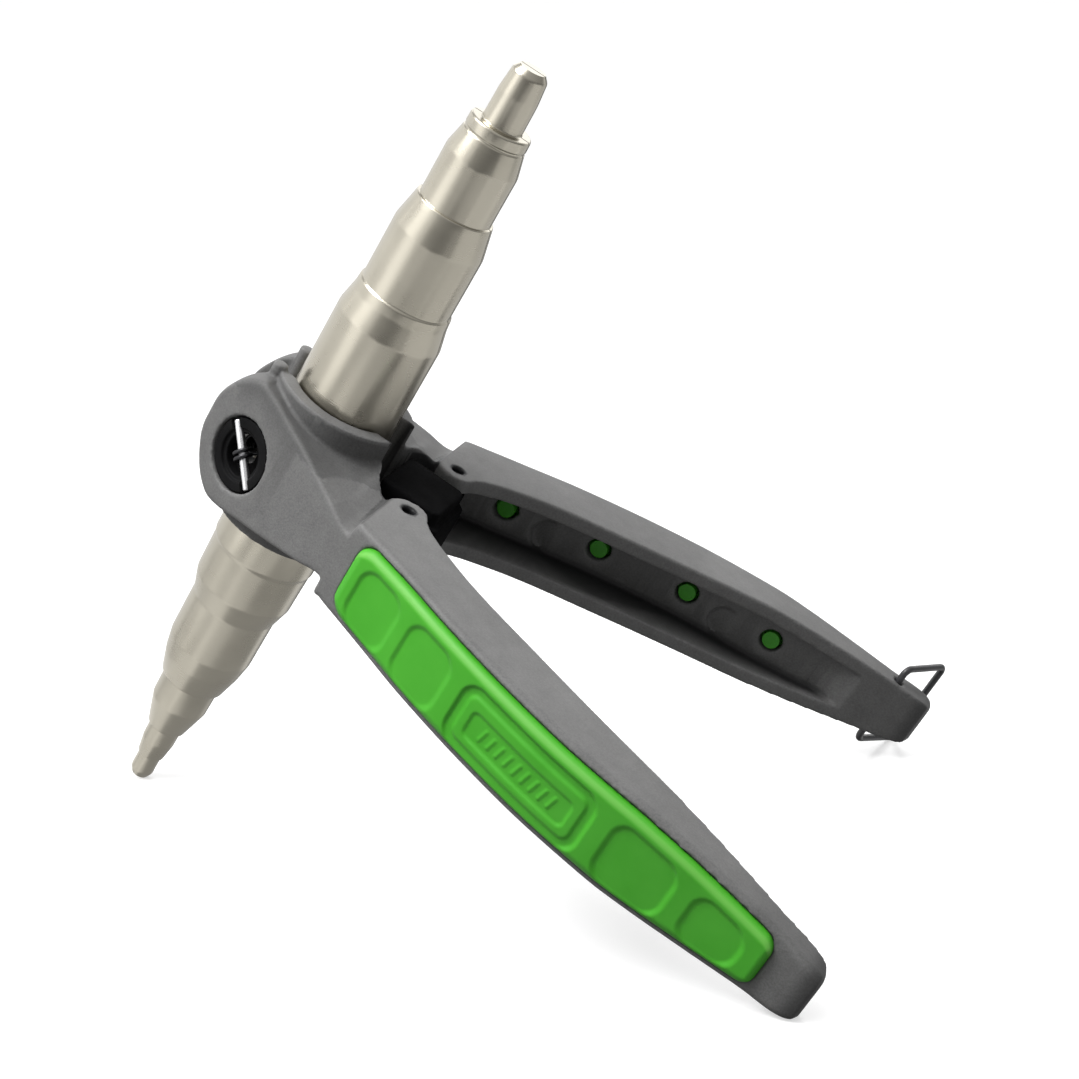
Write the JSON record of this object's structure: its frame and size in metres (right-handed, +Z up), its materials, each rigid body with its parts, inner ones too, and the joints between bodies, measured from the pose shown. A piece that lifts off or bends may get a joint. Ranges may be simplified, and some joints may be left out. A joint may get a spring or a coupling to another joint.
{
  "type": "hand tube expander",
  "caption": "Hand tube expander: split double-ended stepped mandrel clamped in two cast half bodies with soft grips, rocking on a fulcrum block, with return spring and wire bail",
  "frame": {"origin": "centre of the bounding box at the base, where the mandrel tip, one handle end and the bail stand on the ground", "axes": "+X runs horizontally from the lower mandrel tip towards the handle ends and is the longest extent, +Z is up"},
  "size_m": [0.1506, 0.125, 0.14],
  "materials": {
    "cast_aluminium": "fine sand-cast grey paint",
    "satin_nickel": "satin nickel plate",
    "grip_rubber": "soft matte",
    "black_plastic": "black, lightly textured",
    "pin_steel": "bright ground",
    "spring_steel": "dark drawn wire",
    "bush_bronze": "plain bronze",
    "bail_wire": "black coated wire"
  },
  "bodies": {
    "fulcrum": {"fulcrum_block": "black_plastic", "front_hinge_bush": "bush_bronze", "rear_hinge_bush": "bush_bronze", "front_hinge_pin": "pin_steel", "rear_hinge_pin": "pin_steel", "return_spring": "spring_steel"},
    "front_half": {"front_body": "cast_aluminium", "front_mandrel": "satin_nickel", "front_grip": "grip_rubber", "front_upper_screw": "pin_steel", "front_lower_screw": "pin_steel", "front_spring_cup": "black_plastic", "front_cross_pin": "pin_steel"},
    "rear_half": {"rear_body": "cast_aluminium", "rear_mandrel": "satin_nickel", "rear_grip": "grip_rubber", "rear_upper_screw": "pin_steel", "rear_lower_screw": "pin_steel", "rear_spring_cup": "black_plastic", "rear_cross_pin": "pin_steel"},
    "bail": {"lock_bail": "bail_wire"}
  },
  "joints": [
    {"name": "front_rock", "type": "hinge", "parent": "fulcrum", "child": "front_half", "pos_m": [-0.01526, -0.01631, 0.05629], "axis": [0.5134, -0.038, 0.8573], "range_deg": [0, 6], "stiffness_Nm_per_rad": 1.2, "springref_deg": -5.73, "deforming": ["return_spring"]},
    {"name": "rear_rock", "type": "hinge", "parent": "fulcrum", "child": "rear_half", "pos_m": [-0.01476, 0.00947, 0.05714], "axis": [0.5134, -0.038, 0.8573], "range_deg": [-6, 0], "stiffness_Nm_per_rad": 1.2, "springref_deg": 5.73, "deforming": ["return_spring"]},
    {"name": "bail_swing", "type": "hinge", "parent": "rear_half", "child": "bail", "pos_m": [0.06428, 0.05015, 0.01161], "axis": [0.5134, -0.038, 0.8573], "range_deg": [-150, 45]}
  ],
  "couplings": [
    {"joint": "rear_rock", "follows": "front_rock", "ratio": -1}
  ]
}
